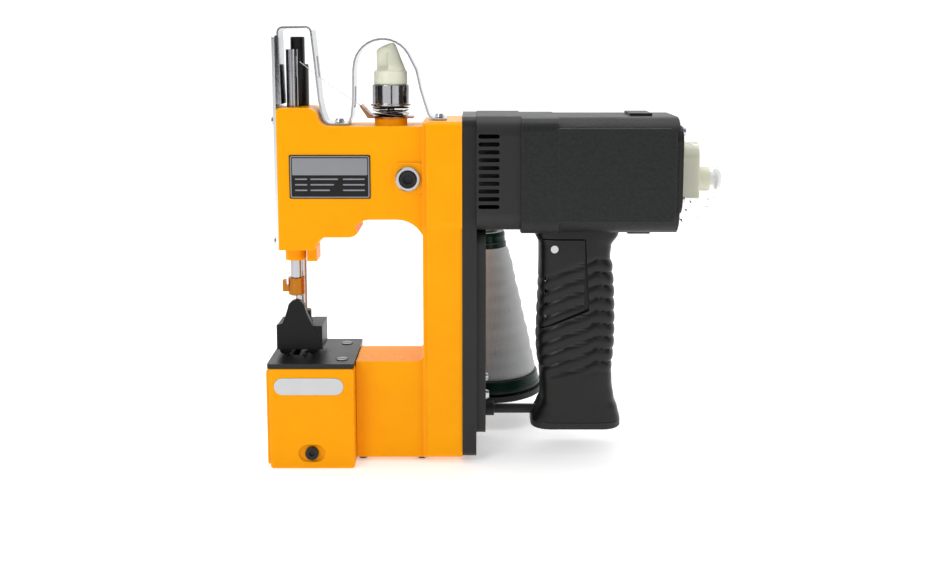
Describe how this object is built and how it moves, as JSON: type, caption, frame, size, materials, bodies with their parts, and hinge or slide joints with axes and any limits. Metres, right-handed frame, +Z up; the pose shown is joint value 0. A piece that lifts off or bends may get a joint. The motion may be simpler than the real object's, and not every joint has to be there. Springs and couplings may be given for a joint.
{
  "type": "bag closer sewing machine",
  "caption": "Hand-held bag closer sewing machine: C-shaped casting with needle drive, presser foot and looper box, belt case, motor with pistol grip and trigger, thread cone behind.",
  "frame": {"origin": "on the resting face under the needle bar axis", "axes": "+X from the needle towards the motor, +Y to the side the thread cone stands on, +Z up along the needle bar"},
  "size_m": [0.3127, 0.1475, 0.2949],
  "materials": {
    "orange_paint": "semi-gloss orange-yellow enamel",
    "black_casting": "satin black enamel",
    "black_plastic": "satin black",
    "black_textured": "fine leather-grain black",
    "screw_steel": "bright nickel",
    "black_oxide": "black oxide",
    "dark_screw": "dark steel",
    "grip_rubber": "ribbed matt black",
    "grip_rubber_trigger": "ribbed matt black",
    "rubber_black": "matt",
    "bright_steel": "polished",
    "spring_steel": "drawn wire",
    "grey_plastic": "moulded",
    "tray_plastic": "moulded black",
    "spindle_steel": "turned",
    "green_plastic": "moulded green",
    "thread_white": "wound thread",
    "polished_steel": "polished sheet",
    "polished_strip": "polished strip",
    "threaded_steel": "threaded",
    "disc_steel": "polished discs",
    "copper": "copper-plated sheet",
    "chrome_cup": "chrome",
    "ivory_plastic": "translucent ivory",
    "nameplate_metal": "anodised blank plate",
    "label_silver": "silver foil",
    "bar_chrome": "ground and chromed",
    "bronze": "sintered bronze",
    "clamp_orange": "orange-copper",
    "needle_steel": "polished",
    "forged_steel": "forged",
    "sleeve_black": "black",
    "foot_black": "black oxide",
    "lever_black": "black",
    "bearing_steel": "ground",
    "belt_rubber": "toothed",
    "shaft_steel": "ground",
    "looper_steel": "polished",
    "feed_steel": "hardened",
    "rotor_steel": "laminated",
    "stator_steel": "laminated",
    "brass_holder": "brass",
    "reservoir_ivory": "translucent cream",
    "clear_plastic": "clear",
    "button_white": "white"
  },
  "bodies": {
    "frame": {"frame_casting": "orange_paint", "column_housing": "orange_paint", "belt_case": "black_casting", "motor_front_casing": "black_plastic", "motor_housing": "black_textured", "rear_cover": "black_plastic", "pan_head_screws": "screw_steel", "looper_box": "orange_paint", "looper_cover": "orange_paint", "looper_cover_screw": "black_oxide", "side_cover": "orange_paint", "throat_plate": "black_oxide", "throat_plate_screws": "dark_screw", "base_screws": "black_oxide", "grip_front_half": "grip_rubber", "grip_back_half": "grip_rubber", "grip_base_cap": "black_plastic", "cord_gland": "rubber_black", "trigger_pin": "bright_steel", "trigger_spring": "spring_steel", "trigger_switch": "grey_plastic", "stay_bar": "black_casting", "cone_tray": "tray_plastic", "cone_spindle": "spindle_steel", "face_plate": "polished_steel", "guard_strip": "polished_strip", "tension_post": "threaded_steel", "tension_discs": "disc_steel", "thread_guide": "copper", "tension_cup": "chrome_cup", "tension_spring": "spring_steel", "nameplate": "nameplate_metal", "serial_label": "label_silver", "arm_screw": "screw_steel", "needle_bar_bushes": "bronze", "presser_sleeve": "sleeve_black", "presser_spring": "spring_steel", "shaft_bearings": "bearing_steel", "drive_belt": "belt_rubber", "stator": "stator_steel", "brush_holders": "brass_holder", "oil_reservoir": "reservoir_ivory", "pump_guard": "clear_plastic"},
    "rotor": {"rotor": "rotor_steel"},
    "lower_shaft": {"lower_shaft": "shaft_steel"},
    "needle_lever": {"needle_lever": "forged_steel"},
    "connecting_rod": {"connecting_rod": "forged_steel"},
    "needle_bar": {"needle_bar": "bar_chrome", "needle_clamp": "clamp_orange", "needle": "needle_steel"},
    "presser": {"presser_bar": "bar_chrome", "presser_foot": "foot_black"},
    "presser_lever": {"presser_lever": "lever_black"},
    "looper": {"looper": "looper_steel"},
    "feed_dog": {"feed_dog": "feed_steel"},
    "trigger": {"trigger": "grip_rubber_trigger"},
    "tension_knob": {"tension_knob": "ivory_plastic"},
    "oil_button": {"oil_button": "button_white"},
    "cone": {"cone_core": "green_plastic", "thread_winding": "thread_white"}
  },
  "joints": [
    {"name": "rotor_spin", "type": "hinge", "parent": "frame", "child": "rotor", "pos_m": [0.1, 0.009, 0.199], "axis": [1, 0, 0], "continuous": true},
    {"name": "lower_shaft_spin", "type": "hinge", "parent": "frame", "child": "lower_shaft", "pos_m": [0.06, 0.006, 0.043], "axis": [1, 0, 0], "continuous": true},
    {"name": "needle_lever_rock", "type": "hinge", "parent": "frame", "child": "needle_lever", "pos_m": [0.0783, 0, 0.1949], "axis": [0, 1, 0], "range_deg": [-11, 9]},
    {"name": "needle_bar_slide", "type": "slide", "parent": "frame", "child": "needle_bar", "axis": [0, 0, 1], "range_m": [-0.01503, 0.0123]},
    {"name": "connecting_rod_slide", "type": "slide", "parent": "frame", "child": "connecting_rod", "axis": [0, 0, 1], "range_m": [-0.00269, 0.00328]},
    {"name": "presser_lever_turn", "type": "hinge", "parent": "frame", "child": "presser_lever", "pos_m": [0.024, 0.02, 0.175], "axis": [0, 1, 0], "range_deg": [0, 35]},
    {"name": "presser_lift", "type": "slide", "parent": "frame", "child": "presser", "axis": [0, 0, 1], "range_m": [0, 0.008]},
    {"name": "looper_swing", "type": "hinge", "parent": "frame", "child": "looper", "pos_m": [0, 0.02, 0.027], "axis": [1, 0, 0], "range_deg": [-10, 8]},
    {"name": "feed_dog_travel", "type": "slide", "parent": "frame", "child": "feed_dog", "axis": [0, 1, 0], "range_m": [-0.0018, 0.0018]},
    {"name": "trigger_pull", "type": "hinge", "parent": "frame", "child": "trigger", "pos_m": [0.1763, 0.009, 0.1456], "axis": [0, -1, 0], "range_deg": [0, 2.2], "stiffness_Nm_per_rad": 0.6, "springref_deg": -5.73},
    {"name": "tension_knob_turn", "type": "hinge", "parent": "frame", "child": "tension_knob", "pos_m": [0.066, 0, 0.26], "axis": [0, 0, 1], "range_deg": [-540, 540]},
    {"name": "oil_button_press", "type": "slide", "parent": "frame", "child": "oil_button", "axis": [-1, 0, 0], "range_m": [0, 0.004], "stiffness_N_per_m": 400, "springref_m": -0.002},
    {"name": "cone_lift_off", "type": "slide", "parent": "frame", "child": "cone", "axis": [-0.0541, 0, 0.9985], "range_m": [0, 0.092]}
  ],
  "couplings": [
    {"joint": "needle_bar_slide", "follows": "needle_lever_rock", "m_per_rad": 0.0783},
    {"joint": "connecting_rod_slide", "follows": "needle_lever_rock", "m_per_rad": -0.0171},
    {"joint": "presser_lever_turn", "follows": "presser_lift", "rad_per_m": 76.3},
    {"joint": "lower_shaft_spin", "follows": "rotor_spin", "ratio": 0.45}
  ]
}
